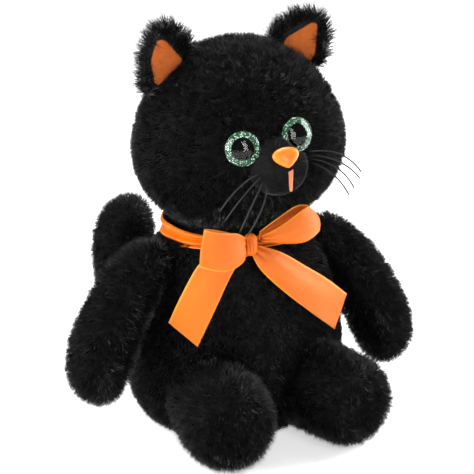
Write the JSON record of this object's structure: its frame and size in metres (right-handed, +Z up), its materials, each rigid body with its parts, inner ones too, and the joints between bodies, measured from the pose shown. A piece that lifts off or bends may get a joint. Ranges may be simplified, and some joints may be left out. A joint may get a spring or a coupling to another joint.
{
  "type": "plush cat",
  "caption": "Seated long-pile plush cat with glitter eyes, stitched snout, felt-lined ears and a satin neck bow; limbs, ears, tail and head flex.",
  "frame": {"origin": "middle of the flat patch under the seat, where the toy rests", "axes": "+Z up, -Y is the way the torso faces, +X is the cat's left"},
  "size_m": [0.2123, 0.1778, 0.2387],
  "materials": {
    "black_pile": "deep fluffy pile",
    "black_velour": "short velour pile",
    "apricot_felt": "brushed felt",
    "orange_satin": "satin",
    "apricot_thread": "satin stitch",
    "white_fibre": "loose fibre filling",
    "grey_calico": "plain weave",
    "orange_plastic": "gloss",
    "clear_plastic": "clear gloss",
    "black_plastic": "gloss",
    "green_glitter": "glitter",
    "white_plastic": "plain",
    "black_thread": "stiff thread"
  },
  "bodies": {
    "torso": {"back_panel_left": "black_pile", "back_panel_right": "black_pile", "belly_panel": "black_pile", "bow_knot": "orange_satin", "bow_loop_left": "orange_satin", "bow_loop_right": "orange_satin", "neck_ribbon": "orange_satin", "pellet_bag": "grey_calico", "seat_panel": "black_pile", "torso_stuffing": "white_fibre"},
    "neck": {"neck_stuffing": "white_fibre"},
    "head": {"eye_dome_left": "clear_plastic", "eye_dome_right": "clear_plastic", "eye_glitter_left": "green_glitter", "eye_glitter_right": "green_glitter", "eye_pupil_left": "black_plastic", "eye_pupil_right": "black_plastic", "eye_washer_left": "white_plastic", "eye_washer_right": "white_plastic", "face_panel_left": "black_pile", "face_panel_right": "black_pile", "head_back_panel_left": "black_pile", "head_back_panel_right": "black_pile", "head_stuffing": "white_fibre", "mouth_stitch": "apricot_thread", "muzzle_cover": "black_velour", "muzzle_stuffing": "white_fibre", "nose": "orange_plastic", "nose_washer": "white_plastic", "whisker_left_1": "black_thread", "whisker_left_2": "black_thread", "whisker_left_3": "black_thread", "whisker_left_4": "black_thread", "whisker_right_1": "black_thread", "whisker_right_2": "black_thread", "whisker_right_3": "black_thread", "whisker_right_4": "black_thread"},
    "ear_right": {"ear_cover_right": "black_pile", "ear_lining_right": "apricot_felt"},
    "ear_left": {"ear_cover_left": "black_pile", "ear_lining_left": "apricot_felt"},
    "arm_right": {"arm_back_panel_right": "black_pile", "arm_front_panel_right": "black_pile", "arm_stuffing_right": "white_fibre"},
    "arm_left": {"arm_back_panel_left": "black_pile", "arm_front_panel_left": "black_pile", "arm_stuffing_left": "white_fibre"},
    "leg_right": {"foot_sole_right": "black_pile", "leg_panel_right": "black_pile", "leg_stuffing_right": "white_fibre"},
    "leg_left": {"foot_sole_left": "black_pile", "leg_panel_left": "black_pile", "leg_stuffing_left": "white_fibre"},
    "tail": {"tail_back_panel": "black_pile", "tail_front_panel": "black_pile", "tail_stuffing": "white_fibre"},
    "ribbon_right": {"ribbon_tail_right": "orange_satin"},
    "ribbon_left": {"ribbon_tail_left": "orange_satin"}
  },
  "joints": [
    {"name": "neck_turn", "type": "hinge", "parent": "torso", "child": "neck", "pos_m": [0, -0.002, 0.114], "axis": [0, 0, 1], "range_deg": [-20, 20], "stiffness_Nm_per_rad": 0.05},
    {"name": "head_nod", "type": "hinge", "parent": "neck", "child": "head", "pos_m": [0, -0.002, 0.114], "axis": [1, 0, 0], "range_deg": [-8, 3], "stiffness_Nm_per_rad": 1.5},
    {"name": "ear_right_flop", "type": "hinge", "parent": "head", "child": "ear_right", "pos_m": [-0.04001, 0.00298, 0.20892], "axis": [0.7556, -0.024, 0.6546], "range_deg": [-12, 12], "stiffness_Nm_per_rad": 0.02},
    {"name": "ear_left_flop", "type": "hinge", "parent": "head", "child": "ear_left", "pos_m": [0.03677, -0.00366, 0.2153], "axis": [0.8317, -0.1149, -0.5432], "range_deg": [-12, 12], "stiffness_Nm_per_rad": 0.02},
    {"name": "arm_right_swing", "type": "hinge", "parent": "torso", "child": "arm_right", "pos_m": [-0.056, -0.008, 0.1], "axis": [1, 0, 0], "range_deg": [-45, 10], "stiffness_Nm_per_rad": 0.06},
    {"name": "arm_left_swing", "type": "hinge", "parent": "torso", "child": "arm_left", "pos_m": [0.056, -0.008, 0.1], "axis": [1, 0, 0], "range_deg": [-45, 10], "stiffness_Nm_per_rad": 0.06},
    {"name": "leg_right_lift", "type": "hinge", "parent": "torso", "child": "leg_right", "pos_m": [-0.03, -0.038, 0.027], "axis": [1, 0, 0], "range_deg": [-20, 0]},
    {"name": "leg_left_lift", "type": "hinge", "parent": "torso", "child": "leg_left", "pos_m": [0.03, -0.038, 0.027], "axis": [1, 0, 0], "range_deg": [-20, 0]},
    {"name": "tail_wag", "type": "hinge", "parent": "torso", "child": "tail", "pos_m": [-0.018, 0.06, 0.03], "axis": [0, 1, 0], "range_deg": [-15, 15], "stiffness_Nm_per_rad": 0.06},
    {"name": "ribbon_right_lift", "type": "hinge", "parent": "torso", "child": "ribbon_right", "pos_m": [-0.012, -0.0475, 0.119], "axis": [1, 0, 0], "range_deg": [-30, 0]},
    {"name": "ribbon_left_lift", "type": "hinge", "parent": "torso", "child": "ribbon_left", "pos_m": [-0.012, -0.0475, 0.119], "axis": [1, 0, 0], "range_deg": [-30, 0]}
  ]
}
